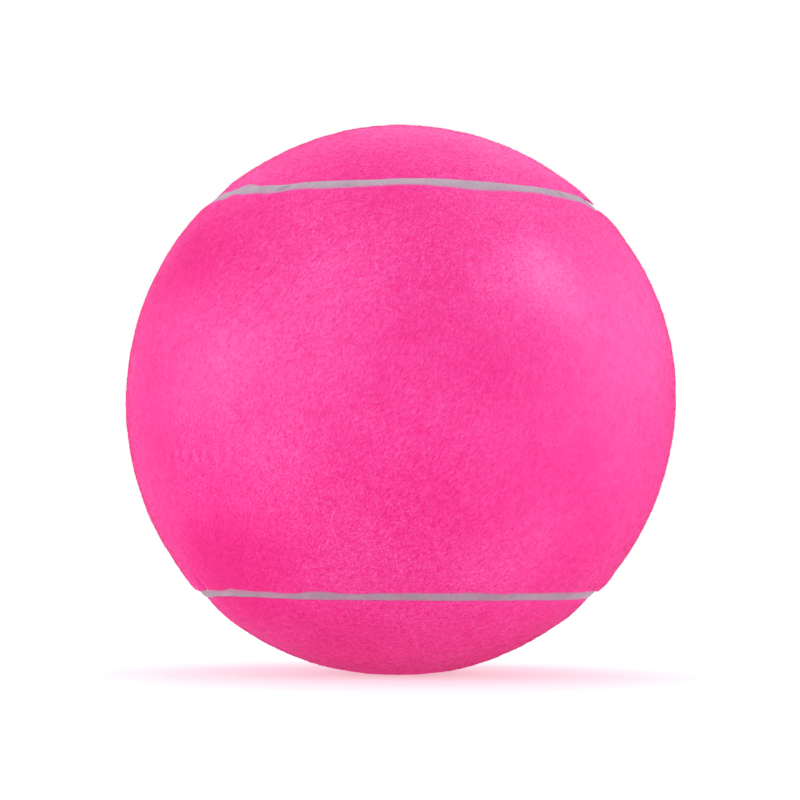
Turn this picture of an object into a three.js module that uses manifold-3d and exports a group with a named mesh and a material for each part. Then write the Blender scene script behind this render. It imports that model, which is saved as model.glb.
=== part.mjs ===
// A jumbo tennis ball: an inflated rubber bladder with a needle valve, covered by two felt
// panels of one pattern that interlock along a seam filled by a rubber strip.
// Millimetres, +Z up, origin at the ball's centre. The front panel's waist faces -Y, the back
// panel's waist and the valve face +Y, and the ball rests on a small flat at -Z.
import * as THREE from 'three';
import { mergeVertices } from 'three/addons/utils/BufferGeometryUtils.js';
import Module from 'manifold-3d';

const wasm = await Module();
wasm.setup();

// Driving dimensions of the cover
const ballDiameter = 240;
const feltThickness = 3;
const feltEdgeRound = 1.2;
const seamGap = 5.4;
const seamClearance = 0.3;
const stripRecess = 1.1;
const stripCrown = 0.4;
const restingFlatDiameter = 28;

// Driving dimensions of the bladder and of the glue line on both its faces
const bladderWall = 1.8;
const cementFilm = 0.5;

// Driving dimensions of the valve, from the plug outwards
const needleMouthDiameter = 3.2;
const needleMouthDepth = 2.5;
const needleBoreDiameter = 1.6;
const plugStemDiameter = 6;
const plugHeadLip = 1.3;
const plugHeadThickness = 1.4;
const plugBulbLip = 0.7;
const plugBulbLength = 4;
const plugFloor = 1.8;
const plugClearance = 0.3;
const neckWall = 1.4;
const neckClearance = 0.3;
const valveRecess = 1.2;
const flangeWidth = 10;
const flangeThickness = 1.4;
const barrelLength = 9;
const barrelTipWall = 1.5;

// How far a flat facet may stray from the sphere it stands for: less than the glue line
const facetSag = 0.85 * cementFilm;
const bladderFacetRatio = 1.5;
const edgeSteps = 3;
const crownSteps = 4;
const valveSegments = 28;
const flangeSteps = 3;

// Radii of the layers
const ballRadius = ballDiameter / 2;
const feltInnerRadius = ballRadius - feltThickness;
const bladderRadius = feltInnerRadius - cementFilm;
const bladderInnerRadius = bladderRadius - bladderWall;

// Facets: the width of a square facet whose middle lies facetSag under the sphere
const facetWidth = 2 * Math.sqrt(ballRadius * facetSag);
const columnsPerSide = Math.ceil(Math.PI * ballRadius / facetWidth);
const outlineColumns = 4 * columnsPerSide;

// The seam lies an eighth of a turn from each panel's spine, on the way to the other spine
const seamReach = Math.PI / 4;
const panelReach = seamReach - seamGap / 2 / ballRadius;

// Valve radii
const stemRadius = plugStemDiameter / 2;
const plugBoreRadius = stemRadius + plugClearance;
const headRadius = stemRadius + plugHeadLip;
const headSeatRadius = headRadius + plugClearance;
const bulbRadius = plugBoreRadius + plugBulbLip;
const barrelTipRadius = plugBoreRadius + barrelTipWall;
const neckRadius = headSeatRadius + neckWall;
const neckHoleRadius = neckRadius + neckClearance;
const flangeRadius = neckRadius + flangeWidth;

// Valve levels along its axis, from the outside in
const valveFace = ballRadius - valveRecess;
const headUnderside = valveFace - plugHeadThickness;
const headSeat = headUnderside - plugClearance;
const flangeOuterRadius = bladderInnerRadius - cementFilm;
const flangeInnerRadius = flangeOuterRadius - flangeThickness;
const barrelEnd = flangeInnerRadius - barrelLength;
const bulbTop = barrelEnd - plugClearance;
const plugTip = bulbTop - plugBulbLength;

// Places a vertex of a turned blank on the ball. A panel's spine is half a great circle from +X
// through -Y to -X, and reach is the angle out from it. The outline round the spine has four
// equal sides: above it, round its -X end, below it and round its +X end.
function placeOnBall(column, reach, radius) {
  const side = Math.floor(column / columnsPerSide) % 4;
  const along = Math.PI * (column % columnsPerSide) / columnsPerSide;
  const across = Math.sin(reach);
  const inward = Math.cos(reach);
  const facing = side < 2 ? 1 : -1;
  const point = new THREE.Vector3();
  if (side % 2 === 0) {
    point.set(facing * Math.cos(along) * inward, -Math.sin(along) * inward, facing * across);
  } else {
    point.set(-facing * inward, Math.sin(along) * across, facing * Math.cos(along) * across);
  }
  return point.multiplyScalar(radius);
}

// Turns a section (x is the distance out from the spine at the felt's face, y the height over
// the bladder's glue line) into a blank, and lays the blank on the ball.
function layBlank(section, firstReach) {
  const blank = new THREE.LatheGeometry(section, outlineColumns);
  const position = blank.getAttribute('position');
  for (let index = 0; index < position.count; index++) {
    const column = Math.floor(index / section.length);
    const { x, y } = section[index % section.length];
    const point = placeOnBall(column, firstReach + x / ballRadius, feltInnerRadius + y);
    position.setXYZ(index, point.x, point.y, point.z);
  }
  return blank;
}

// Felt panel: flat underside, cut edge with its upper corner rolled over, felt face
function feltBlank() {
  const edge = panelReach * ballRadius;
  const rows = Math.ceil(edge / facetWidth);
  const lipCentre = new THREE.Vector2(edge - feltEdgeRound, feltThickness - feltEdgeRound);
  const lip = new THREE.EllipseCurve(
    lipCentre.x, lipCentre.y, feltEdgeRound, feltEdgeRound, 0, Math.PI / 2);
  const section = [];
  for (let row = 0; row <= rows; row++) {
    section.push(new THREE.Vector2(edge * row / rows, 0));
  }
  section.push(...lip.getPoints(edgeSteps));
  for (let row = rows - 1; row >= 0; row--) {
    section.push(new THREE.Vector2(lipCentre.x * row / rows, feltThickness));
  }
  return layBlank(section, 0);
}

// Seam strip: an endless rubber strip with a crowned face, between the two cut edges
function seamStrip() {
  const halfWidth = seamGap / 2 - seamClearance;
  const crownTop = feltThickness - stripRecess;
  const shoulder = crownTop - stripCrown;
  const crown = new THREE.EllipseCurve(0, shoulder, halfWidth, stripCrown, 0, Math.PI);
  const section = [
    new THREE.Vector2(-halfWidth, 0),
    new THREE.Vector2(halfWidth, 0),
    ...crown.getPoints(crownSteps),
    new THREE.Vector2(-halfWidth, 0),
  ];
  return layBlank(section, seamReach);
}

// Hollow bladder, turned about the valve axis and open only where the valve's neck goes through
function rubberBladder() {
  const outerEdge = Math.acos(neckHoleRadius / bladderRadius);
  const innerEdge = Math.acos(neckHoleRadius / bladderInnerRadius);
  const arcSteps = Math.ceil(Math.PI * bladderRadius / (facetWidth * bladderFacetRatio) / 2);
  const profile = new THREE.Path();
  profile.absarc(0, 0, bladderRadius, -Math.PI / 2, outerEdge, false);
  profile.absarc(0, 0, bladderInnerRadius, innerEdge, -Math.PI / 2, true);
  return new THREE.LatheGeometry(profile.getPoints(arcSteps), 4 * arcSteps);
}

// Valve housing: a neck through bladder and felt, a dished flange that is glued to the bladder's
// inner face, and a tapered barrel that grips the plug
function valveHousing() {
  const levelAt = (radius, distance) => Math.sqrt(distance * distance - radius * radius);
  const barrelRoot = Math.acos(neckRadius / flangeInnerRadius);
  const flangeRimUnder = Math.acos(flangeRadius / flangeInnerRadius);
  const flangeRimOver = Math.acos(flangeRadius / flangeOuterRadius);
  const neckRoot = Math.acos(neckRadius / flangeOuterRadius);
  const profile = new THREE.Path();
  profile.moveTo(plugBoreRadius, barrelEnd);
  profile.lineTo(barrelTipRadius, barrelEnd);
  profile.lineTo(neckRadius, levelAt(neckRadius, flangeInnerRadius));
  profile.absarc(0, 0, flangeInnerRadius, barrelRoot, flangeRimUnder, true);
  profile.absarc(0, 0, flangeOuterRadius, flangeRimOver, neckRoot, false);
  profile.lineTo(neckRadius, valveFace);
  profile.lineTo(headSeatRadius, valveFace);
  profile.lineTo(headSeatRadius, headSeat);
  profile.lineTo(plugBoreRadius, headSeat);
  profile.lineTo(plugBoreRadius, barrelEnd);
  return new THREE.LatheGeometry(profile.getPoints(flangeSteps), valveSegments);
}

// Valve plug: a head flush with the neck, a stem, and a bulb that keeps it in the barrel. The
// needle's channel ends in solid rubber, which a needle pierces and which closes behind it.
function valvePlug() {
  const needleRadius = needleBoreDiameter / 2;
  const channelEnd = plugTip + plugFloor;
  const profile = new THREE.Path();
  profile.moveTo(0, plugTip);
  profile.lineTo(stemRadius, plugTip);
  profile.lineTo(bulbRadius, bulbTop - plugBulbLip);
  profile.lineTo(bulbRadius, bulbTop);
  profile.lineTo(stemRadius, bulbTop);
  profile.lineTo(stemRadius, headUnderside);
  profile.lineTo(headRadius, headUnderside);
  profile.lineTo(headRadius, valveFace);
  profile.lineTo(needleMouthDiameter / 2, valveFace);
  profile.lineTo(needleRadius, valveFace - needleMouthDepth);
  profile.lineTo(needleRadius, channelEnd + needleRadius);
  profile.lineTo(0, channelEnd);
  return new THREE.LatheGeometry(profile.getPoints(), valveSegments);
}

// Closed solid of a geometry, for cutting
function solidOf(geometry) {
  const bare = geometry.clone();
  bare.deleteAttribute('normal');
  bare.deleteAttribute('uv');
  const merged = mergeVertices(bare, 1e-3);
  return new wasm.Manifold(new wasm.Mesh({
    numProp: 3,
    vertProperties: merged.getAttribute('position').array,
    triVerts: new Uint32Array(merged.getIndex().array),
  }));
}

function cut(geometry, cutters) {
  let solid = solidOf(geometry);
  for (const cutter of cutters) {
    solid = solid.subtract(solidOf(cutter));
  }
  const { vertProperties, triVerts } = solid.getMesh();
  const result = new THREE.BufferGeometry();
  result.setAttribute('position', new THREE.BufferAttribute(vertProperties, 3));
  result.setIndex(new THREE.BufferAttribute(triVerts, 1));
  return result;
}

// Back panel: the same blank half a turn about the diagonal between +X and +Z, with a hole for
// the valve's neck and the flat that the ball's own weight presses at its lowest point
function backPanel() {
  const turnToBack = new THREE.Quaternion();
  turnToBack.setFromAxisAngle(new THREE.Vector3(1, 0, 1).normalize(), Math.PI);
  const panel = feltBlank().applyQuaternion(turnToBack);
  const neckHole = new THREE.CylinderGeometry(
    neckHoleRadius, neckHoleRadius, ballDiameter / 2, valveSegments);
  neckHole.translate(0, ballRadius, 0);
  const restingLevel = Math.sqrt(ballRadius ** 2 - (restingFlatDiameter / 2) ** 2);
  const floor = new THREE.BoxGeometry(ballDiameter, ballDiameter, ballDiameter);
  floor.translate(0, 0, -restingLevel - ballRadius);
  return cut(panel, [neckHole, floor]);
}

// Finishes: brushed pink felt, matt grey seam rubber, dark bladder rubber, black valve rubber
const felt = new THREE.MeshStandardMaterial({ color: 0xf8469f, roughness: 1, metalness: 0 });
const seamRubber = new THREE.MeshStandardMaterial({ color: 0xac97a8, roughness: 0.7, metalness: 0 });
const bladderRubber = new THREE.MeshStandardMaterial({ color: 0x6b676b, roughness: 0.6, metalness: 0 });
const valveRubber = new THREE.MeshStandardMaterial({ color: 0x232225, roughness: 0.5, metalness: 0 });

const ball = new THREE.Group();
function addPiece(name, geometry, material) {
  geometry.computeVertexNormals();
  const mesh = new THREE.Mesh(geometry, material);
  mesh.name = name;
  ball.add(mesh);
}

addPiece('rubber_bladder', rubberBladder(), bladderRubber);
addPiece('valve_housing', valveHousing(), valveRubber);
addPiece('valve_plug', valvePlug(), valveRubber);
addPiece('felt_panel_front', feltBlank(), felt);
addPiece('felt_panel_back', backPanel(), felt);
addPiece('seam_strip', seamStrip(), seamRubber);

export default ball;
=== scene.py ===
import math

import bmesh
import bpy
from mathutils import Matrix, Vector, noise


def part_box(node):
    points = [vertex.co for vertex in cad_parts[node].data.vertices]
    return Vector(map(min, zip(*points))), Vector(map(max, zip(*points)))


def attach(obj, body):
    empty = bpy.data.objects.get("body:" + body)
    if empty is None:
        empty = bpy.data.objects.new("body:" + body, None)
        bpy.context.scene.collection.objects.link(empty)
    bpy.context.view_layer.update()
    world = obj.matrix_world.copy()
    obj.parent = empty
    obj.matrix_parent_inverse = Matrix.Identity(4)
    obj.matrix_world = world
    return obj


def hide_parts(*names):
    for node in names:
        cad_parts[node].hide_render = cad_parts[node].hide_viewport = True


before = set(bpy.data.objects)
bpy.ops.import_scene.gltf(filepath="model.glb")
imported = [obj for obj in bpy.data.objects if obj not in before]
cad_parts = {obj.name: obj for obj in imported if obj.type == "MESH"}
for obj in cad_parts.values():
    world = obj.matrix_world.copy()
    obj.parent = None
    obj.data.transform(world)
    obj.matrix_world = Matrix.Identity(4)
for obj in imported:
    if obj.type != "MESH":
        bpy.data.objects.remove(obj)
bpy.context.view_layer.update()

mm = 0.001
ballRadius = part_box("felt_panel_front")[1].x        # over the felt
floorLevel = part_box("felt_panel_back")[0].z         # the flat the ball rests on
seamAngle = math.pi / 4        # the seam lies halfway between the two panels' spines
scene = bpy.context.scene
print("frame loaded:", len(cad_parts), "nodes, ball radius", round(ballRadius / mm, 1), "mm")


# Colours are written as sRGB hex
def linear(code):
    parts = [int(code[i:i + 2], 16) / 255 for i in (1, 3, 5)]
    parts = [p / 12.92 if p <= 0.04045 else ((p + 0.055) / 1.055) ** 2.4 for p in parts]
    return (*parts, 1.0)


# Texture scale that makes a pattern's features about this many millimetres across
def scaleFor(size):
    return 1 / (size * mm)


# Adds one node. A socket gets a value, or a link where the value is another node's output
def addNode(tree, kind, sockets, stops=None, **settings):
    node = tree.nodes.new(kind)
    for key, value in settings.items():
        setattr(node, key, value)
    for key, value in sockets.items():
        if isinstance(value, bpy.types.NodeSocket):
            tree.links.new(value, node.inputs[key])
        else:
            node.inputs[key].default_value = value
    if stops:       # a colour ramp's (position, colour) list
        ramp = node.color_ramp
        for at, code in stops[1:-1]:
            ramp.elements.new(at)
        for element, (at, code) in zip(ramp.elements, stops):
            element.position = at
            element.color = linear(code)
    return node


def newMaterial(name, roughness, ior):
    material = bpy.data.materials.new(name)
    material.use_nodes = True
    tree = material.node_tree
    shader = tree.nodes["Principled BSDF"]
    shader.inputs["Roughness"].default_value = roughness
    shader.inputs["IOR"].default_value = ior
    place = addNode(tree, "ShaderNodeTexCoord", {}).outputs["Object"]
    return material, tree, shader, place


# Direction on the ball: degrees round from the front, to the right, and degrees up
def direction(around, up):
    a = math.radians(around)
    e = math.radians(up)
    return Vector((math.sin(a) * math.cos(e), -math.cos(a) * math.cos(e), math.sin(e)))


# Needle felt: dyed polyester, matt all over. The nap shows as soft brushed patches, partly
# painted sheen, a mottle of small tufts and a pale bloom where it is seen edge on.
feltLook = {
    "stops": [          # painted crease shade, deep, middle, pale, palest
        (0.0, "#c2186a"), (0.2, "#f12c8c"), (0.5, "#f6469f"), (0.8, "#fd66b7"), (1.0, "#ff7fc5")],
    "broad": [          # size in mm, stretch along the nap, detail, weight
        (62, 1.0, 1.5, 0.5),        # where a hand has stroked the nap
        (5.5, 1.0, 2.0, 0.22)],     # clumps
    "fine": [
        (1.5, 2.6, 1.5, 0.36),      # tufts
        (0.55, 2.8, 1.0, 0.85)],    # hairs, coarser than a fibre so that they show
    "octaveShare": 0.6,     # strength of each finer octave in a layer
    "napTilt": 33,          # degrees that the nap leans to the right
    "middle": 0.5,          # tone of felt that is neither pale nor deep
    "napAndSheenPatches": [            # brushed places: around, up, radius in mm, paler or deeper; partly painted sheen and shade of the nap
        (55, 11, 90, 0.18), (-30, 22, 90, 0.32), (-50, -38, 45, -0.46), (6, 10, 48, -0.18),
        (58, 68, 90, 0.35), (-37, 27, 52, -0.44), (10, -31, 52, -0.18), (-7, 44, 63, -0.22),
        (-27, -55, 56, -0.2), (29, 22, 33, 0.29), (-58, 28, 40, -0.37), (54, -53, 81, -0.15),
        (27, -33, 41, 0.2), (-20, 68, 45, 0.12), (-60, 52, 25, 0.2),
    ],
    "patchWander": 10,      # mm by which a brushed place's outline wanders
    "wanderSize": 40,       # mm
    "deepest": 0.17,        # only the painted shade of a crease or of a stroke's furrow is darker than this
    "fibreTone": 0.5,       # how far single fibres differ
    "hairHeight": 0.25,     # mm
    "hairStrength": 0.7,
    "gloss": 0.1,
    "bloom": 0.18,
    "bloomSpread": 0.45,
    "bloomTint": "#ffb4f4",
}


# Layers of noise added up about 0, and the last layer by itself
def layered(tree, place, layers, tilt):
    total = -0.5 * sum(layer[3] for layer in layers)
    for size, stretch, detail, weight in layers:
        combed = addNode(tree, "ShaderNodeMapping", {
            "Vector": place, "Rotation": (0, math.radians(tilt), 0), "Scale": (1, 1, stretch)},
            vector_type="TEXTURE")
        layer = addNode(tree, "ShaderNodeTexNoise", {
            "Vector": combed.outputs[0], "Scale": scaleFor(size), "Detail": detail,
            "Roughness": feltLook["octaveShare"]})
        total = addNode(tree, "ShaderNodeMath", {
            0: layer.outputs["Fac"], 1: weight, 2: total}, operation="MULTIPLY_ADD").outputs[0]
    return total, layer.outputs["Fac"]


# Tone of the nap from deep 0 to pale 1, its hairs alone, and how loose it stands
def napPattern(tree, place):
    broad = layered(tree, place, feltLook["broad"], 0)[0]
    fine, hairs = layered(tree, place, feltLook["fine"], feltLook["napTilt"])
    loose = addNode(tree, "ShaderNodeAttribute", {}, attribute_name="loose").outputs["Fac"]
    mottled = addNode(tree, "ShaderNodeMath", {
        0: fine, 1: loose, 2: broad}, operation="MULTIPLY_ADD")
    total = addNode(tree, "ShaderNodeMath", {
        0: mottled.outputs[0], 1: feltLook["middle"]}).outputs[0]
    wander = addNode(tree, "ShaderNodeTexNoise", {
        "Vector": place, "Scale": scaleFor(feltLook["wanderSize"]), "Detail": 2.0})
    reach = feltLook["patchWander"] * mm
    astray = addNode(tree, "ShaderNodeVectorMath", {
        0: wander.outputs["Color"], 1: (2 * reach,) * 3, 2: (-reach,) * 3},
        operation="MULTIPLY_ADD")
    strayed = addNode(tree, "ShaderNodeVectorMath", {
        0: place, 1: astray.outputs[0]}, operation="ADD")
    # Brushed places of the nap, partly painted sheen and painted shade
    for around, up, radius, change in feltLook["napAndSheenPatches"]:
        away = addNode(tree, "ShaderNodeVectorMath", {
            0: strayed.outputs[0], 1: direction(around, up) * ballRadius}, operation="DISTANCE")
        napAndSheenPatch = addNode(tree, "ShaderNodeMapRange", {
            "Value": away.outputs["Value"], "From Min": 0.0, "From Max": radius * mm,
            "To Min": change, "To Max": 0.0}, interpolation_type="SMOOTHSTEP")
        total = addNode(tree, "ShaderNodeMath", {0: total, 1: napAndSheenPatch.outputs["Result"]}).outputs[0]
    return total, hairs, loose


# What felt and loose fibres share: the colour of a tone, painted light and shade, and the bloom
def feltSurface(tree, shader, tone):
    bare = addNode(tree, "ShaderNodeMath", {0: tone, 1: feltLook["deepest"]}, operation="MAXIMUM")
    paintedLightAndShade = addNode(tree, "ShaderNodeAttribute", {}, attribute_name="paintedLightAndShade").outputs["Fac"]
    shade = addNode(tree, "ShaderNodeMath", {
        0: bare.outputs[0], 1: paintedLightAndShade}, operation="SUBTRACT")
    colour = addNode(tree, "ShaderNodeValToRGB", {
        "Fac": shade.outputs[0]}, stops=feltLook["stops"])
    tree.links.new(colour.outputs["Color"], shader.inputs["Base Color"])
    shader.inputs["Specular IOR Level"].default_value = feltLook["gloss"]
    shader.inputs["Sheen Weight"].default_value = feltLook["bloom"]
    shader.inputs["Sheen Roughness"].default_value = feltLook["bloomSpread"]
    shader.inputs["Sheen Tint"].default_value = linear(feltLook["bloomTint"])


def needleFelt():
    material, tree, shader, place = newMaterial("needle_felt", roughness=0.95, ior=1.45)
    nap, hairs, loose = napPattern(tree, place)
    feltSurface(tree, shader, nap)
    rise = addNode(tree, "ShaderNodeMath", {
        0: loose, 1: feltLook["hairStrength"]}, operation="MULTIPLY")
    bump = addNode(tree, "ShaderNodeBump", {
        "Height": hairs, "Strength": rise.outputs[0], "Distance": feltLook["hairHeight"] * mm})
    tree.links.new(bump.outputs["Normal"], shader.inputs["Normal"])
    return material


# Loose felt fibre: the same dyed polyester as single hairs, each a little paler or deeper
def feltFibre():
    material, tree, shader, place = newMaterial("felt_fibre", roughness=0.85, ior=1.5)
    nap, _, loose = napPattern(tree, place)
    tone = addNode(tree, "ShaderNodeAttribute", {}, attribute_name="tone").outputs["Fac"]
    most = feltLook["fibreTone"]
    spread = addNode(tree, "ShaderNodeMath", {
        0: tone, 1: most, 2: -0.5 * most}, operation="MULTIPLY_ADD")
    single = addNode(tree, "ShaderNodeMath", {
        0: spread.outputs[0], 1: loose, 2: nap}, operation="MULTIPLY_ADD")
    feltSurface(tree, shader, single.outputs[0])
    return material


rubberIor = 1.52

# Cured seam rubber: pale grey filler brushed into the joint, satin, with dust, scuffs and painted
# shade
seamLook = {
    "stops": [(0.3, "#9c8898"), (0.52, "#ae99aa"), (0.75, "#bdaab8")],
    "paintedLowShade": 0.12,            # painted shade: the lower seam darker than the upper one
    "paintedLowShadeSpan": 0.7,         # from this far below the middle to as far above, in ball radii
    "lintAndShade": "#d0719f",          # felt hairs caught along both edges, and painted shade where the strip meets the felt
    "lintAndShadeFrom": 1.1, "lintAndShadeTo": 2.7, "lintAndShadeMost": 0.75,       # mm from the middle
    "cloudSize": 14, "cloudShare": 0.6,     # sizes in mm
    "dustSize": 1.6, "dustShare": 0.4,
    "dustHeight": 0.1,          # mm
    "dustStrength": 0.25,
    "scuffs": [                 # degrees round and up, radius in mm
        (-36, 44.0, 1.5), (-34.8, 44.4, 1.6), (-33.6, 44.8, 1.5), (-15, 44.2, 1.4),
        (52, 44.8, 2.0), (-140, 20, 2.2), (33, -44.6, 1.6)],
    "scuffLevel": 1.2,          # mm under the felt's face
    "scuffFray": 2.4,           # mm by which the dust frays a scuff's outline
    "scuffCore": 0.8,           # mm
    "scuffShade": 0.5,
}


def seamRubber():
    material, tree, shader, place = newMaterial(
        "cured_seam_rubber", roughness=0.55, ior=rubberIor)
    cloud = addNode(tree, "ShaderNodeTexNoise", {
        "Vector": place, "Scale": scaleFor(seamLook["cloudSize"]), "Detail": 3.0})
    dust = addNode(tree, "ShaderNodeTexNoise", {
        "Vector": place, "Scale": scaleFor(seamLook["dustSize"]), "Detail": 3.0,
        "Roughness": 0.65})
    dusty = addNode(tree, "ShaderNodeMath", {
        0: dust.outputs["Fac"], 1: seamLook["dustShare"]}, operation="MULTIPLY")
    clouded = addNode(tree, "ShaderNodeMath", {
        0: cloud.outputs["Fac"], 1: seamLook["cloudShare"], 2: dusty.outputs[0]},
        operation="MULTIPLY_ADD")
    height = addNode(tree, "ShaderNodeSeparateXYZ", {0: place}).outputs["Z"]
    # Painted shade, darker towards the bottom of the ball
    span = seamLook["paintedLowShadeSpan"] * ballRadius
    paintedLowShade = addNode(tree, "ShaderNodeMapRange", {
        "Value": height, "From Min": -span, "From Max": span,
        "To Min": -seamLook["paintedLowShade"], "To Max": 0.0})
    shade = addNode(tree, "ShaderNodeMath", {
        0: clouded.outputs[0], 1: paintedLowShade.outputs[0]}).outputs[0]
    level = ballRadius - seamLook["scuffLevel"] * mm
    fray = seamLook["scuffFray"]
    for around, up, radius in seamLook["scuffs"]:
        away = addNode(tree, "ShaderNodeVectorMath", {
            0: place, 1: direction(around, up) * level}, operation="DISTANCE")
        ragged = addNode(tree, "ShaderNodeMath", {
            0: dust.outputs["Fac"], 1: -fray * mm, 2: away.outputs["Value"]},
            operation="MULTIPLY_ADD")
        mark = addNode(tree, "ShaderNodeMapRange", {
            "Value": ragged.outputs[0], "From Min": -seamLook["scuffCore"] * mm,
            "From Max": (radius - fray / 2) * mm,
            "To Min": -seamLook["scuffShade"], "To Max": 0.0})
        shade = addNode(tree, "ShaderNodeMath", {0: shade, 1: mark.outputs["Result"]}).outputs[0]
    colour = addNode(tree, "ShaderNodeValToRGB", {"Fac": shade}, stops=seamLook["stops"])
    across = addNode(tree, "ShaderNodeAttribute", {}, attribute_name="across").outputs["Fac"]
    fromMiddle = addNode(tree, "ShaderNodeMath", {0: across}, operation="ABSOLUTE")
    # Felt hairs and painted shade along both edges, where the strip meets the felt
    lintAndShade = addNode(tree, "ShaderNodeMapRange", {
        "Value": fromMiddle.outputs[0], "From Min": seamLook["lintAndShadeFrom"] * mm,
        "From Max": seamLook["lintAndShadeTo"] * mm, "To Max": seamLook["lintAndShadeMost"]})
    lintedAndShaded = addNode(tree, "ShaderNodeMix", {
        0: lintAndShade.outputs["Result"], 6: colour.outputs["Color"], 7: linear(seamLook["lintAndShade"])},
        data_type="RGBA")
    bump = addNode(tree, "ShaderNodeBump", {
        "Height": dust.outputs["Fac"], "Strength": seamLook["dustStrength"],
        "Distance": seamLook["dustHeight"] * mm})
    tree.links.new(lintedAndShaded.outputs[2], shader.inputs["Base Color"])
    tree.links.new(bump.outputs["Normal"], shader.inputs["Normal"])
    return material


# Moulded valve rubber: black, satin, with a dusty bloom and the fine grain of the mould.
# Bladder rubber: dark grey vulcanised sheet, duller, with cloudy cement left on it.
rubberLooks = {
    "moulded_valve_rubber": {
        "stops": [(0.3, "#1b1a1d"), (0.7, "#2e2c30")],
        "roughness": 0.48, "cloudSize": 3.5,
        "grainSize": 0.4, "grainDepth": 0.05 * mm, "grainStrength": 0.3},
    "vulcanised_bladder_rubber": {
        "stops": [(0.35, "#565257"), (0.6, "#6b676b"), (0.75, "#7d787c")],
        "roughness": 0.62, "cloudSize": 22,
        "grainSize": 1.2, "grainDepth": 0.1 * mm, "grainStrength": 0.3},
}


def darkRubber(name):
    look = rubberLooks[name]
    material, tree, shader, place = newMaterial(name, look["roughness"], rubberIor)
    cloud = addNode(tree, "ShaderNodeTexNoise", {
        "Vector": place, "Scale": scaleFor(look["cloudSize"]), "Detail": 4.0, "Roughness": 0.6})
    grain = addNode(tree, "ShaderNodeTexNoise", {
        "Vector": place, "Scale": scaleFor(look["grainSize"]), "Detail": 2.0})
    colour = addNode(tree, "ShaderNodeValToRGB", {
        "Fac": cloud.outputs["Fac"]}, stops=look["stops"])
    bump = addNode(tree, "ShaderNodeBump", {
        "Height": grain.outputs["Fac"], "Strength": look["grainStrength"],
        "Distance": look["grainDepth"]})
    tree.links.new(colour.outputs["Color"], shader.inputs["Base Color"])
    tree.links.new(bump.outputs["Normal"], shader.inputs["Normal"])
    return material


feltMaterial = needleFelt()
fibreMaterial = feltFibre()
seamMaterial = seamRubber()
valveMaterial = darkRubber("moulded_valve_rubber")
bladderMaterial = darkRubber("vulcanised_bladder_rubber")
print("materials made")


# A finished mesh becomes an object at the origin that rides on the ball and may stand for a node
def placePiece(mesh, name, material, node=None):
    mesh.materials.clear()
    mesh.materials.append(material)
    mesh.polygons.foreach_set("use_smooth", [True] * len(mesh.polygons))
    piece = bpy.data.objects.new(name, mesh)
    scene.collection.objects.link(piece)
    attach(piece, "root")
    if node:
        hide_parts(node)
    return piece


def meshOf(bm, name):
    mesh = bpy.data.meshes.new(name)
    bm.to_mesh(mesh)
    bm.free()
    return mesh


weldDistance = 0.002 * mm
sectionMatch = 1e-6        # metres or radians within which places in a section are the same


# A section drawn as a line of points, ready to spin
def drawSection(bm, points, closed=False):
    verts = [bm.verts.new(p) for p in points]
    edges = [bm.edges.new(pair) for pair in zip(verts, verts[1:])]
    if closed:
        edges.append(bm.edges.new((verts[-1], verts[0])))
    return verts + edges


# Spin leaves doubles and an order that changes from run to run, so all is put in order
def closeUp(bm):
    bmesh.ops.remove_doubles(bm, verts=bm.verts, dist=weldDistance)
    bmesh.ops.recalc_face_normals(bm, faces=bm.faces)
    bm.verts.index_update()
    count = len(bm.verts)

    def order(element):
        lowest = sorted(v.index for v in element.verts)[:3]
        return sum(index * count ** k for k, index in enumerate(lowest))

    bm.edges.sort(key=order)
    bm.faces.sort(key=order)


# Edges along a sweep, whose two ends have the same place in the section
def sweptEdges(bm, layers):
    return [e for e in bm.edges if all(
        abs(e.verts[0][layer] - e.verts[1][layer]) < sectionMatch for layer in layers)]


# The panels are cut to one pattern. Its spine is the half circle from +X by the front to -X, and
# the felt reaches the same angle out from it all round: a strip with half-round ends.
felt = {
    "thickness": 3.0 * mm,
    "seamGap": 5.4 * mm,         # between the two cut edges
    "napHeight": 0.35 * mm,      # loose fibres stand this far over the felt's own face
    "edgeRound": 0.8 * mm,       # the cut edge's outer corner
    "edgeDrop": {"front": 0.1 * mm, "back": 0.75 * mm},     # it is pressed down to the strip
    "edgeDropWidth": {"front": 5.0 * mm, "back": 11.0 * mm},
    "faceStep": 1.3 * mm,        # mesh step on the face
    "spinSteps": {"band": 29, "end": 20},       # each cut again into coarseCuts
    "coarseCuts": 10,
    "cornerSteps": 4,
    "underRows": 8,
    "tuftHeight": 0.2 * mm,
    "tuftSize": 3.4 * mm,
    "clumpHeight": 0.2 * mm,
    "clumpSize": 9.0 * mm,
    "faceShare": 0.99,           # under this share of the thickness it is edge or underside
    "bareEdge": 3.0 * mm,        # few loose fibres this close to the edge, down to edgeFlock
    "edgeFlock": 0.3,
    "offFloor": (0.8 * mm, 4 * mm),     # fibres set in between these distances
    "offValve": (0.5 * mm, 3 * mm),
    "edgeWave": 0.25 * mm,       # the hand-cut edge wanders
    "edgeWaveSize": 17.0 * mm,
    "edgeNibble": 0.15 * mm,
    "edgeNibbleSize": 3.5 * mm,
    "edgeDrift": 0.25 * mm,      # the seam opens towards the top
    "edgeBias": {"front": -0.17 * mm, "back": 0.25 * mm},   # the back panel is laid a little wide
    "edgeReach": 26.0 * mm,      # how far in from the edge such things are felt
    "looseNap": 1.25,            # how strongly the nap shows, and the least it does
    "smoothest": 0.08,
}
edgeAngle = seamAngle - felt["seamGap"] / 2 / ballRadius
edgeSeeds = {"front": Vector((3.1, 7.7, 1.3)), "back": Vector((11.9, 2.3, 8.1))}

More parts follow.
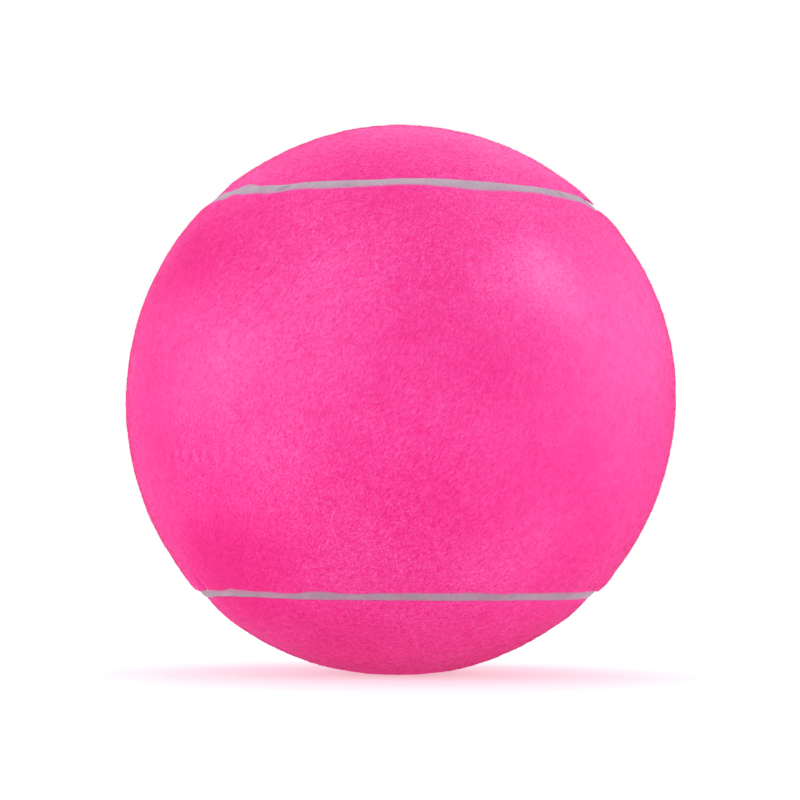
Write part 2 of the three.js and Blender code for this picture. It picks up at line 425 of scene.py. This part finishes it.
# Where a cut edge bends over the strip or away from it: panel, degrees round and up, then reach
# and push in mm
edgeBends = [
    ("back", -68, 45, 22, -1.5), ("back", -53.5, 45, 14, -3.4), ("back", -35, 45, 16, 1.0),
    ("back", -17, 45, 26, 0.75), ("back", -6, 45, 9, 0.35), ("back", 12, 45, 32, -0.95),
    ("back", 44, 45, 12, -0.55), ("back", 81, 45, 14, -2.4),
    ("front", -70, 45, 16, 1.0), ("front", -54.5, 45, 8, 1.6), ("front", -38, 45, 15, -1.4),
    ("front", -20, 45, 22, -0.75), ("front", 3, 45, 16, 1.2), ("front", 22, 45, 16, -1.4),
    ("front", 39.5, 45, 7, 0.6), ("front", 52, 45, 18, -0.5), ("front", 70, 45, 14, -2.5),
    ("front", -66, -45, 9, -1.2), ("front", -58, -45, 7, 0.6), ("front", -53, -45, 17, -1.4),
    ("front", -31.5, -45, 12, 0.75), ("front", -22, -45, 9, -0.4), ("front", -12, -45, 15, 0.7),
    ("front", 18.5, -45, 11, -0.45), ("front", 30, -45, 7, 0.4),
    ("back", -66, -45, 9, 0.8), ("back", -56, -45, 20, 1.6), ("back", -44.5, -45, 11, 1.1),
    ("back", -37, -45, 12, 0.6), ("back", 60, -45, 46, -0.6),
]
# The back panel's edge has come off the strip here, as a thin tongue, and the strip is sunk
lip = {
    "panel": "back", "at": (74.5, 45), "reach": 10 * mm, "push": 4.7 * mm, "depth": 16 * mm,
    "peel": 1.8 * mm,           # how much thinner it comes up
    "lift": 0.65 * mm,
    "steepness": 2.5,           # how soon it is fully up
    "sink": 1.4 * mm,
}
# A pucker in the front panel's edge: a roll between two creases that run in from the edge, with
# painted shade in the creases
pucker = {
    "panel": "front", "at": (-74, -45), "pitch": 17 * mm, "height": 2.4 * mm, "reach": 20 * mm,
    "fade": (0.7, 1.3),         # in pitches from its middle
    "sunk": 0.6,                # share of the height by which the creases lie under the face
    "creaseWidth": 1.3 * mm, "creaseShade": 0.5,
    "bare": 0.9,                # share of its fibres that are gone
}
# The ball is not quite round: whose swell it is, degrees round and up, reach and height in mm
swells = [
    ("ball", 84, 18, 80, 0.55), ("ball", 40, 78, 70, -0.15), ("ball", -82, 60, 55, -0.8),
    ("ball", -80, -52, 90, 1.2), ("ball", 84, -20, 60, -0.2), ("ball", -84, 10, 80, -0.65),
    ("ball", 82, -57, 40, -0.45), ("ball", 77, 45, 13, -0.6),
    ("front", 79, -41, 12, 0.75), ("front", 68, 44, 12, -0.5), ("front", 81, 40, 12, 0.4),
]
# Where the nap stands looser or lies smoother: degrees round and up, reach in mm, change
loosePlaces = [
    (45, -4, 110, -1.16), (91, 3, 110, -1.05), (-61, -6, 108, -0.96), (-11, 6, 68, -0.5),
    (-7, -36, 50, 0.24), (-50, -16, 42, 0.6), (82, 54, 42, -0.9), (-80, 56, 42, -0.7),
]
# Short upright strokes left in the front panel's nap by a brush, with painted light on their
# ridges and painted shade in their furrows
comb = {
    "panel": "front", "at": (-45, -13.4), "reach": 38 * mm, "halfHeight": 2.8 * mm,
    "fade": (0.7, 1.2),         # in half heights from the row's middle
    # tone: how strongly the ridges are painted lighter and the furrows painted darker
    "pitch": 6.4 * mm, "stagger": 1.8, "height": 0.2 * mm, "tone": 0.14,
}


# Directions along and away from the front panel's spine
def spineWays(p):
    if p.y <= 0:
        return Vector((p.x, p.y, 0)).normalized(), Vector((0, 0, p.z)).normalized()
    return Vector((p.x, 0, 0)).normalized(), Vector((0, p.y, p.z)).normalized()


def onBall(ways, angle, radius):
    return (ways[0] * math.cos(angle) + ways[1] * math.sin(angle)) * radius


# Half a turn that carries the front panel's pattern to the back panel's place
def turnToBack(p):
    return Vector((p.z, -p.y, p.x))


def smoothStep(low, high, value):
    t = min(max((value - low) / (high - low), 0.0), 1.0)
    return t * t * (3 - 2 * t)


# 1 at a spot, falling to 0 at its reach
def spotShare(place, spot, reach):
    return 1 - smoothStep(0, reach, (place - spot).length)


bendSpots = [(name, direction(around, up) * ballRadius, reach * mm, push * mm)
             for name, around, up, reach, push in edgeBends]
swellSpots = [(name, direction(around, up) * ballRadius, reach * mm, height * mm)
              for name, around, up, reach, height in swells]
looseSpots = [(direction(around, up) * ballRadius, reach * mm, change)
              for around, up, reach, change in loosePlaces]
lipSpot = direction(*lip["at"]) * ballRadius
puckerSpot = direction(*pucker["at"]) * ballRadius
combSpot = direction(*comb["at"]) * ballRadius


def swellAt(place, panelName=None):
    return sum(height * spotShare(place, spot, reach)
               for name, spot, reach, height in swellSpots if name in ("ball", panelName))


# How far a panel's cut edge stands over the seam, beyond its true line, near a point of the seam
def edgeShift(seamPoint, panelName):
    seed = edgeSeeds[panelName]
    shift = felt["edgeWave"] * noise.noise(seamPoint / felt["edgeWaveSize"] + seed)
    shift += felt["edgeNibble"] * noise.noise(seamPoint / felt["edgeNibbleSize"] + seed)
    shift += felt["edgeBias"][panelName] - felt["edgeDrift"] * seamPoint.z / ballRadius
    return shift + sum(push * spotShare(seamPoint, spot, reach)
                       for name, spot, reach, push in bendSpots if name == panelName)


def lipShare(seamPoint, panelName):
    return spotShare(seamPoint, lipSpot, lip["reach"]) if panelName == lip["panel"] else 0.0


# Share of the pucker at a place, the height of its roll there and how deep in a crease that is
def puckerAt(seamPoint, panelName, inset):
    if panelName != pucker["panel"]:
        return 0.0, 0.0, 0.0
    pitch = pucker["pitch"]
    near, far = pucker["fade"]
    away = seamPoint - puckerSpot
    along = away.dot(Vector((0, 0, 1)).cross(puckerSpot).normalized())
    share = 1 - smoothStep(near * pitch, far * pitch, away.length)
    share *= 1 - smoothStep(0, pucker["reach"], inset)
    roll = math.sqrt(abs(math.cos(math.pi * along / pitch))) - pucker["sunk"]
    crease = 1 - smoothStep(0, pucker["creaseWidth"], abs(abs(along) - pitch / 2))
    return share, pucker["height"] * roll * share, crease * share


# From -1 in a furrow of the strokes to 1 on a ridge
def combedAt(place, panelName):
    share = spotShare(place, combSpot, comb["reach"]) if panelName == comb["panel"] else 0.0
    if share == 0.0:
        return 0.0
    near, far = (fade * comb["halfHeight"] for fade in comb["fade"])
    share *= 1 - smoothStep(near, far, abs(place.z - combSpot.z))
    strokes = math.atan2(place.x, -place.y) * ballRadius / comb["pitch"]
    stagger = comb["stagger"] * noise.noise(Vector((strokes, 0.5, 0.5)))
    return share * math.sin(2 * math.pi * strokes + stagger)


# Half of the felt's section, as angle from the spine and radius: over the face, round the cut
# edge's corner and back under
def feltSection():
    corner = felt["edgeRound"] / ballRadius
    rows = round((edgeAngle - corner) * ballRadius / felt["faceStep"])
    points = [((edgeAngle - corner) * i / rows, ballRadius) for i in range(rows)]
    for i in range(felt["cornerSteps"] + 1):
        turn = math.pi / 2 * i / felt["cornerSteps"]
        drop = felt["edgeRound"] * (1 - math.cos(turn))
        points.append((edgeAngle - corner + corner * math.sin(turn), ballRadius - drop))
    under = ballRadius - felt["thickness"]
    for i in range(felt["underRows"], -1, -1):
        points.append((edgeAngle * i / felt["underRows"], under))
    return points


# The section is spun in coarse steps, which are then cut finer. Each vertex keeps its place in
# the section, so that the cuts can be put back on the ball.
def feltPattern():
    bm = bmesh.new()
    angleOf = bm.verts.layers.float.new("angle")
    radiusOf = bm.verts.layers.float.new("radius")
    section = feltSection()
    sweeps = [(1, 1, "band"), (1, -1, "band"), (1, 1, "end"), (-1, 1, "end")]
    for side, above, sweep in sweeps:
        points = [(side * math.cos(a) * r, 0, above * math.sin(a) * r) for a, r in section]
        geom = drawSection(bm, points)
        for vert, (angle, radius) in zip(geom, section):
            vert[angleOf] = angle
            vert[radiusOf] = radius
        axis = (0, 0, 1) if sweep == "band" else (1, 0, 0)
        bmesh.ops.spin(bm, geom=geom, cent=(0, 0, 0), axis=axis, angle=-math.pi,
                       steps=felt["spinSteps"][sweep])
    closeUp(bm)
    bmesh.ops.subdivide_edges(bm, edges=sweptEdges(bm, (angleOf, radiusOf)),
                              cuts=felt["coarseCuts"] - 1)
    return bm


valve = {       # radii and levels along the valve's axis, as in the solids
    "needleMouth": 1.6 * mm,
    "needleMouthDepth": 2.5 * mm,
    "needleBore": 0.8 * mm,
    "stem": 3.0 * mm,
    "bore": 3.3 * mm,
    "head": 4.3 * mm,
    "headThickness": 1.4 * mm,
    "headSeat": 4.6 * mm,
    "bulb": 3.7 * mm,
    "bulbLip": 0.7 * mm,
    "bulbLength": 4.0 * mm,
    "plugFloor": 1.8 * mm,
    "neck": 6.0 * mm,
    "neckHole": 6.3 * mm,
    "cutterDepth": 40 * mm,
    "recess": 1.2 * mm,
    "flange": 16.0 * mm,
    "flangeThickness": 1.4 * mm,
    "flangeSteps": 6,
    "barrelLength": 9.0 * mm,
    "barrelTip": 4.8 * mm,
    "clearance": 0.3 * mm,
    "turns": 96,
    "sharpFrom": 50,        # degrees between faces at an edge that gets rounded
    "edgeRound": 0.25 * mm,
    "roundSteps": 3,
}
bladder = {"outer": 116.5 * mm, "wall": 1.8 * mm, "rows": 90, "turns": 180, "glueLine": 0.5 * mm}


# Nap, swell, wandering edge and lifted places. The flock layer says where loose fibres stand.
def shapeFelt(bm, panelName):
    angleOf = bm.verts.layers.float["angle"]
    radiusOf = bm.verts.layers.float["radius"]
    flock = bm.verts.layers.float.new("flock")
    paintedLightAndShadeOf = bm.verts.layers.float.new("paintedLightAndShade")
    looseOf = bm.verts.layers.float.new("loose")
    turn = turnToBack if panelName == "back" else Vector
    under = ballRadius - felt["thickness"]
    floorNear, floorFar = (floorLevel + margin for margin in felt["offFloor"])
    valveNear, valveFar = (valve["neckHole"] + margin for margin in felt["offValve"])
    for vert in bm.verts:
        angle = vert[angleOf]
        radius = vert[radiusOf]
        ways = spineWays(vert.co)
        place = turn(onBall(ways, angle, radius))
        depth = (radius - under) / felt["thickness"]        # 0 underneath, 1 on the face
        inset = (edgeAngle - angle) * ballRadius
        nearEdge = 1 - smoothStep(0, felt["edgeDropWidth"][panelName], inset)
        if inset < felt["edgeReach"]:
            seamPoint = turn(onBall(ways, seamAngle, ballRadius))
            lifted = lipShare(seamPoint, panelName)
            shift = edgeShift(seamPoint, panelName) + lip["push"] * lifted
            angle += shift / ballRadius * nearEdge
            peeled = min(lip["steepness"] * lifted, 1)
            radius -= felt["edgeDrop"][panelName] * nearEdge * depth * (1 - peeled)
            peeled *= 1 - smoothStep(0, lip["depth"], inset)
            radius += (lip["lift"] + lip["peel"] * (1 - depth)) * peeled
            puckered, roll, crease = puckerAt(seamPoint, panelName, inset)
            radius += roll * depth
            # Painted shade in the pucker's creases
            vert[paintedLightAndShadeOf] = crease * pucker["creaseShade"]
        else:
            puckered = peeled = 0.0
        combed = combedAt(place, panelName)
        # Painted light on the strokes' ridges, painted shade in their furrows
        vert[paintedLightAndShadeOf] -= comb["tone"] * combed
        tuft = felt["tuftHeight"] * noise.noise(place / felt["tuftSize"])
        clump = felt["clumpHeight"] * noise.noise(place / felt["clumpSize"])
        nap = (tuft + clump) * (1 - peeled) + comb["height"] * combed - felt["napHeight"]
        radius += (nap + swellAt(place, panelName)) * depth
        vert.co = turn(onBall(ways, angle, radius))
        vert.co.z = max(vert.co.z, floorLevel)
        offFloor = smoothStep(floorNear, floorFar, vert.co.z)
        offValve = 1.0
        if vert.co.y > 0:
            offValve = smoothStep(valveNear, valveFar, math.hypot(vert.co.x, vert.co.z))
        loosened = felt["looseNap"] + sum(change * spotShare(place, spot, reach)
                                          for spot, reach, change in looseSpots)
        vert[looseOf] = max(loosened, felt["smoothest"])
        onFace = 1.0 if depth > felt["faceShare"] else 0.0
        bare = 1 - felt["edgeFlock"]
        offEdge = felt["edgeFlock"] + bare * smoothStep(0, felt["bareEdge"], inset)
        lost = max(pucker["bare"] * puckered, peeled)
        vert[flock] = onFace * offFloor * offValve * offEdge * (1 - lost)


# Round hole for the valve's neck in the back panel
def cutNeckHole(panel):
    bm = bmesh.new()
    bmesh.ops.create_cone(
        bm, cap_ends=True, segments=valve["turns"], radius1=valve["neckHole"],
        radius2=valve["neckHole"], depth=valve["cutterDepth"],
        matrix=Matrix.Translation((0, ballRadius, 0)) @ Matrix.Rotation(math.pi / 2, 4, "X"))
    cutter = bpy.data.objects.new("neck_cutter", meshOf(bm, "neck_cutter"))
    scene.collection.objects.link(cutter)
    modifier = panel.modifiers.new("neck_hole", "BOOLEAN")
    modifier.object = cutter
    modifier.solver = "EXACT"
    graph = bpy.context.evaluated_depsgraph_get()
    cutMesh = bpy.data.meshes.new_from_object(panel.evaluated_get(graph))
    panel.modifiers.clear()
    panel.data = cutMesh
    bpy.data.objects.remove(cutter)


feltPanels = {}
for panelName in ("front", "back"):
    pattern = feltPattern()
    shapeFelt(pattern, panelName)
    panel = placePiece(meshOf(pattern, "felt_" + panelName), "felt_" + panelName, feltMaterial,
                       "felt_panel_" + panelName)
    if panelName == "back":
        cutNeckHole(panel)
    feltPanels[panelName] = panel
    print("felt panel", panelName, len(panel.data.polygons), "faces")


# Loose fibres of the nap, scattered over each panel's face and combed down by the brushing
fibre = {
    "length": 2.0 * mm,
    "width": 0.27 * mm,         # a few hairs together
    "bend": 0.1,                # share of the length that the tip droops
    "perSquareMetre": 1090000,
    "lean": (77, 87),           # degrees from standing straight up
    "spread": 40,               # degrees either side of the nap's direction
    "strays": 0.08,             # share that stands up more, by this many degrees
    "strayLift": 11,
    "size": (0.55, 1.2),
    "combed": (-0.6, 0.0, -0.9),    # the way the nap lies
    "swirlSize": 45,            # mm
    "swirl": 2.0,               # how far the way it lies wanders
    "seed": 7,
}


def oneFibre():
    bm = bmesh.new()
    length, width, bend = fibre["length"], fibre["width"], fibre["bend"]
    bmesh.ops.create_circle(bm, cap_ends=True, segments=4, radius=1)
    for vert in bm.verts:       # a pointed blade, standing up, whose tip droops
        share = (vert.co.y + 1) / 2
        vert.co = (bend * length * share ** 2, vert.co.x * width / 2, length * share)
    blade = bpy.data.objects.new("one_fibre", meshOf(bm, "one_fibre"))
    scene.collection.objects.link(blade)
    return blade


def flockNodes(blade):
    tree = bpy.data.node_groups.new("flock", "GeometryNodeTree")
    tree.interface.new_socket("Geometry", in_out="INPUT", socket_type="NodeSocketGeometry")
    tree.interface.new_socket("Geometry", in_out="OUTPUT", socket_type="NodeSocketGeometry")
    surface = addNode(tree, "NodeGroupInput", {}).outputs["Geometry"]
    where = addNode(tree, "GeometryNodeInputNamedAttribute", {"Name": "flock"}, data_type="FLOAT")
    density = addNode(tree, "ShaderNodeMath", {
        0: where.outputs["Attribute"], 1: float(fibre["perSquareMetre"])}, operation="MULTIPLY")
    scatter = addNode(tree, "GeometryNodeDistributePointsOnFaces", {
        "Mesh": surface, "Density": density.outputs[0], "Seed": fibre["seed"]})
    swirl = addNode(tree, "ShaderNodeTexNoise", {
        "Scale": scaleFor(fibre["swirlSize"]), "Detail": 1.0})
    swing = addNode(tree, "ShaderNodeVectorMath", {
        0: swirl.outputs["Color"], 1: (0.5, 0.5, 0.5)}, operation="SUBTRACT")
    combed = addNode(tree, "ShaderNodeVectorMath", {
        0: swing.outputs[0], 1: (fibre["swirl"],) * 3, 2: fibre["combed"]},
        operation="MULTIPLY_ADD")
    upright = addNode(tree, "FunctionNodeAlignRotationToVector", {
        "Vector": scatter.outputs["Normal"]}, axis="Z")
    along = addNode(tree, "FunctionNodeAlignRotationToVector", {
        "Rotation": upright.outputs[0], "Vector": combed.outputs[0]}, axis="X", pivot_axis="Z")
    low, high = (math.radians(a) for a in fibre["lean"])
    spread = math.radians(fibre["spread"])
    lean = addNode(tree, "FunctionNodeRandomValue", {
        0: (0, low, -spread), 1: (0, high, spread), "Seed": fibre["seed"] + 1},
        data_type="FLOAT_VECTOR")
    stray = addNode(tree, "FunctionNodeRandomValue", {
        "Probability": fibre["strays"], "Seed": fibre["seed"] + 4}, data_type="BOOLEAN")
    raised = addNode(tree, "ShaderNodeVectorMath", {
        0: stray.outputs[3], 1: (0, -math.radians(fibre["strayLift"]), 0), 2: lean.outputs[0]},
        operation="MULTIPLY_ADD")
    leanTurn = addNode(tree, "FunctionNodeEulerToRotation", {0: raised.outputs[0]})
    laid = addNode(tree, "FunctionNodeRotateRotation", {
        0: along.outputs[0], 1: leanTurn.outputs[0]}, rotation_space="LOCAL")
    size = addNode(tree, "FunctionNodeRandomValue", {
        2: fibre["size"][0], 3: fibre["size"][1], "Seed": fibre["seed"] + 2}, data_type="FLOAT")
    tone = addNode(tree, "FunctionNodeRandomValue", {
        "Seed": fibre["seed"] + 3}, data_type="FLOAT")
    bladeInfo = addNode(tree, "GeometryNodeObjectInfo", {"Object": blade})
    stood = addNode(tree, "GeometryNodeInstanceOnPoints", {
        "Points": scatter.outputs["Points"], "Instance": bladeInfo.outputs["Geometry"],
        "Rotation": laid.outputs[0], "Scale": size.outputs[1]})
    toned = addNode(tree, "GeometryNodeStoreNamedAttribute", {
        "Geometry": stood.outputs[0], "Name": "tone", "Value": tone.outputs[1]},
        data_type="FLOAT", domain="INSTANCE")
    real = addNode(tree, "GeometryNodeRealizeInstances", {0: toned.outputs[0]})
    addNode(tree, "NodeGroupOutput", {0: real.outputs[0]})
    return tree


def flockPanel(panelName, tree):
    carrier = bpy.data.objects.new("carrier", feltPanels[panelName].data)
    scene.collection.objects.link(carrier)
    modifier = carrier.modifiers.new("flock", "NODES")
    modifier.node_group = tree
    graph = bpy.context.evaluated_depsgraph_get()
    mesh = bpy.data.meshes.new_from_object(carrier.evaluated_get(graph))
    bpy.data.objects.remove(carrier)
    for vert in mesh.vertices:
        vert.co.z = max(vert.co.z, floorLevel)
    layFibreMap(mesh)
    fibres = placePiece(mesh, "felt_fibres_" + panelName, fibreMaterial)
    fibres.visible_shadow = False       # single hairs let the light through
    return fibres


# Each fibre gets a square of its own in the OFBake map
def layFibreMap(mesh):
    squares = math.ceil(math.sqrt(len(mesh.polygons)))
    near, far = 0.1, 0.9        # leaves a margin in each square
    corners = ((near, near), (far, near), (far, far), (near, far))
    places = mesh.uv_layers.new(name="OFBake").data
    for face in mesh.polygons:
        row, column = divmod(face.index, squares)
        for loop, (u, v) in zip(face.loop_indices, corners):
            places[loop].uv = ((column + u) / squares, (row + v) / squares)


blade = oneFibre()
flockTree = flockNodes(blade)
feltFibres = {name: flockPanel(name, flockTree) for name in feltPanels}
bpy.data.objects.remove(blade)
for name, piece in feltFibres.items():
    print("fibres", name, len(piece.data.polygons), "faces")


# The strip fills the seam between the wandering edges, a little below the felt's face
strip = {
    "recess": 0.9 * mm,
    "crown": 0.4 * mm,
    "crownSteps": 10,
    "clearance": 0.08 * mm,
    "spinSteps": 22,            # each cut again into coarseCuts
    "coarseCuts": 10,
    "ripple": 0.08 * mm,
    "rippleSize": 12 * mm,
}


def seamStrip():
    bm = bmesh.new()
    acrossOf = bm.verts.layers.float.new("across")
    radiusOf = bm.verts.layers.float.new("radius")
    half = felt["seamGap"] / 2 - strip["clearance"]
    foot = ballRadius - felt["thickness"]
    shoulder = ballRadius - strip["recess"] - strip["crown"]
    section = [(-half, foot), (half, foot)]
    for i in range(strip["crownSteps"] + 1):
        turn = math.pi * i / strip["crownSteps"]
        section.append((half * math.cos(turn), shoulder + strip["crown"] * math.sin(turn)))
    sweeps = [(1, 1, (0, 0, 1)), (1, -1, (0, 0, 1)), (1, 1, (1, 0, 0)), (-1, 1, (1, 0, 0))]
    for side, above, axis in sweeps:
        points = []
        for across, radius in section:
            angle = seamAngle + across / ballRadius
            points.append((side * math.cos(angle) * radius, 0, above * math.sin(angle) * radius))
        geom = drawSection(bm, points, closed=True)
        for vert, (across, radius) in zip(geom, section):
            vert[acrossOf] = across
            vert[radiusOf] = radius
        bmesh.ops.spin(bm, geom=geom, cent=(0, 0, 0), axis=axis, angle=-math.pi,
                       steps=strip["spinSteps"])
    closeUp(bm)
    bmesh.ops.subdivide_edges(bm, edges=sweptEdges(bm, (acrossOf, radiusOf)),
                              cuts=strip["coarseCuts"] - 1)
    for vert in bm.verts:       # its edges follow the two felt edges
        across = vert[acrossOf]
        ways = spineWays(vert.co)
        seamPoint = onBall(ways, seamAngle, ballRadius)
        if across < 0:
            across += edgeShift(seamPoint, "front") * -across / half
        else:
            across -= edgeShift(seamPoint, "back") * across / half
        height = (vert[radiusOf] - foot) / (shoulder - foot)
        rise = strip["ripple"] * noise.noise(seamPoint / strip["rippleSize"]) + swellAt(seamPoint)
        rise = (rise - lip["sink"] * lipShare(seamPoint, lip["panel"])) * height
        vert.co = onBall(ways, seamAngle + across / ballRadius, vert[radiusOf] + rise)
    return placePiece(
        meshOf(bm, "seam_filler"), "seam_filler", seamMaterial, "seam_strip")


seamFiller = seamStrip()
print("seam strip", len(seamFiller.data.polygons), "faces")


# Turned rubber pieces: a section in (radius, level), spun round the valve's axis
def turned(points, closed, turns):
    bm = bmesh.new()
    geom = drawSection(bm, [(radius, level, 0) for radius, level in points], closed)
    bmesh.ops.spin(bm, geom=geom, cent=(0, 0, 0), axis=(0, 1, 0), angle=2 * math.pi,
                   steps=turns, use_merge=True)
    closeUp(bm)
    return bm


# Arc of a section about the ball's centre, between two distances from the valve's axis
def dishedArc(distance, fromRadius, toRadius, steps):
    points = []
    for i in range(steps + 1):
        radius = fromRadius + (toRadius - fromRadius) * i / steps
        points.append((radius, math.sqrt(distance ** 2 - radius ** 2)))
    return points


def roundSharpEdges(bm):
    sharpFrom = math.radians(valve["sharpFrom"])
    sharp = [e for e in bm.edges if len(e.link_faces) == 2 and e.calc_face_angle() > sharpFrom]
    bmesh.ops.bevel(bm, geom=sharp, offset=valve["edgeRound"], offset_type="OFFSET",
                    affect="EDGES", segments=valve["roundSteps"], profile=0.5, material=-1)


valveFace = ballRadius - valve["recess"]
flangeOuter = bladder["outer"] - bladder["wall"] - bladder["glueLine"]
flangeInner = flangeOuter - valve["flangeThickness"]
barrelEnd = flangeInner - valve["barrelLength"]
headUnderside = valveFace - valve["headThickness"]


def valveHousing():
    seat = headUnderside - valve["clearance"]
    points = [(valve["bore"], barrelEnd), (valve["barrelTip"], barrelEnd)]
    points += dishedArc(flangeInner, valve["neck"], valve["flange"], valve["flangeSteps"])
    points += dishedArc(flangeOuter, valve["flange"], valve["neck"], valve["flangeSteps"])
    points += [(valve["neck"], valveFace), (valve["headSeat"], valveFace)]
    points += [(valve["headSeat"], seat), (valve["bore"], seat)]
    bm = turned(points, True, valve["turns"])
    roundSharpEdges(bm)
    placePiece(meshOf(bm, "valve_seat"), "valve_seat", valveMaterial,
               "valve_housing")


def valvePlug():
    bulbTop = barrelEnd - valve["clearance"]
    tip = bulbTop - valve["bulbLength"]
    channelEnd = tip + valve["plugFloor"]
    points = [
        (0, tip), (valve["stem"], tip), (valve["bulb"], bulbTop - valve["bulbLip"]),
        (valve["bulb"], bulbTop), (valve["stem"], bulbTop), (valve["stem"], headUnderside),
        (valve["head"], headUnderside), (valve["head"], valveFace),
        (valve["needleMouth"], valveFace),
        (valve["needleBore"], valveFace - valve["needleMouthDepth"]),
        (valve["needleBore"], channelEnd + valve["needleBore"]), (0, channelEnd),
    ]
    bm = turned(points, False, valve["turns"])
    roundSharpEdges(bm)
    placePiece(meshOf(bm, "valve_insert"), "valve_insert", valveMaterial,
               "valve_plug")


def bladderShell():
    inner = bladder["outer"] - bladder["wall"]
    points = []
    for distance, order in ((bladder["outer"], 1), (inner, -1)):
        top = math.acos(valve["neckHole"] / distance)
        arc = []
        for i in range(bladder["rows"] + 1):
            turn = -math.pi / 2 + (top + math.pi / 2) * i / bladder["rows"]
            arc.append((distance * math.cos(turn), distance * math.sin(turn)))
        points += arc[::order]
    bm = turned(points, False, bladder["turns"])
    placePiece(meshOf(bm, "air_bladder"), "air_bladder", bladderMaterial,
               "rubber_bladder")


valveHousing()
valvePlug()
bladderShell()
print("valve and bladder made")


# White sweep: a pale floor that glows a little, as a light table does, in an even white room
stage = {
    "floorSize": 12.0,          # metres
    "floorGap": 0.02 * mm,
    "floorWhite": "#e0e0e0",
    "floorGlow": 0.44,
    "floorBounce": 0.35,        # how much of the glow lights the ball
    "roomLight": 0.77,
    "background": 1.0,
}


def seenDirectly(tree):
    rays = addNode(tree, "ShaderNodeLightPath", {}).outputs
    mirrored = addNode(tree, "ShaderNodeMath", {
        0: rays["Is Glossy Ray"], 1: rays["Is Transmission Ray"]}, operation="MAXIMUM")
    return addNode(tree, "ShaderNodeMath", {
        0: rays["Is Camera Ray"], 1: mirrored.outputs[0]}, operation="MAXIMUM").outputs[0]


def whiteFloor():
    bm = bmesh.new()
    bmesh.ops.create_grid(bm, x_segments=1, y_segments=1, size=stage["floorSize"] / 2,
                          matrix=Matrix.Translation((0, 0, floorLevel - stage["floorGap"])))
    floor = bpy.data.objects.new("floor", meshOf(bm, "floor"))
    scene.collection.objects.link(floor)
    material, tree, shader, _ = newMaterial("white_sweep", roughness=0.9, ior=1.45)
    shader.inputs["Base Color"].default_value = linear(stage["floorWhite"])
    shader.inputs["Specular IOR Level"].default_value = 0.0
    shader.inputs["Emission Color"].default_value = (1, 1, 1, 1)
    glow = addNode(tree, "ShaderNodeMapRange", {
        "Value": seenDirectly(tree),
        "To Min": stage["floorBounce"], "To Max": stage["floorGlow"]})
    tree.links.new(glow.outputs["Result"], shader.inputs["Emission Strength"])
    floor.data.materials.append(material)


def whiteRoom():
    world = bpy.data.worlds.new("white_room")
    world.use_nodes = True
    tree = world.node_tree
    level = addNode(tree, "ShaderNodeMapRange", {
        "Value": seenDirectly(tree),
        "To Min": stage["roomLight"], "To Max": stage["background"]})
    back = tree.nodes["Background"]
    back.inputs["Color"].default_value = (1, 1, 1, 1)
    tree.links.new(level.outputs["Result"], back.inputs["Strength"])
    scene.world = world


# Soft boxes either side and above: name, place in metres, size in metres, watts
softBoxes = [
    ("right_box", (1.4, -0.7, 0.4), 0.8, 5.1),
    ("left_box", (-1.4, -0.6, 0.35), 0.7, 4.9),
    ("top_box", (0.0, 0.4, 1.5), 1.0, 6.0),
]


def softLights():
    for name, place, size, watts in softBoxes:
        lamp = bpy.data.lights.new(name, "AREA")
        lamp.size = size
        lamp.energy = watts
        box = bpy.data.objects.new(name, lamp)
        box.location = place
        box.rotation_euler = (-Vector(place)).to_track_quat("-Z", "Y").to_euler()
        scene.collection.objects.link(box)


# The camera stands a little below the ball's middle and looks slightly up
camera = {
    "distance": 9.2,        # in ball radii
    "elevation": -3.116,
    "roll": 0.423,
    "lens": 113.53,         # mm, as is the sensor
    "sensor": 36,
    "clipEnd": 50,          # metres
}


def photoCamera():
    data = bpy.data.cameras.new("camera")
    data.lens = camera["lens"]
    data.sensor_width = camera["sensor"]
    data.clip_end = camera["clipEnd"]
    back = direction(0, camera["elevation"])
    turn = (-back).to_track_quat("-Z", "Y").to_matrix().to_4x4()
    roll = Matrix.Rotation(math.radians(camera["roll"]), 4, "Z")
    cam = bpy.data.objects.new("camera", data)
    cam.matrix_world = Matrix.Translation(back * camera["distance"] * ballRadius) @ turn @ roll
    scene.collection.objects.link(cam)
    scene.camera = cam


whiteFloor()
whiteRoom()
softLights()
photoCamera()
scene.view_settings.view_transform = "Standard"
print("stage, lights and camera set")
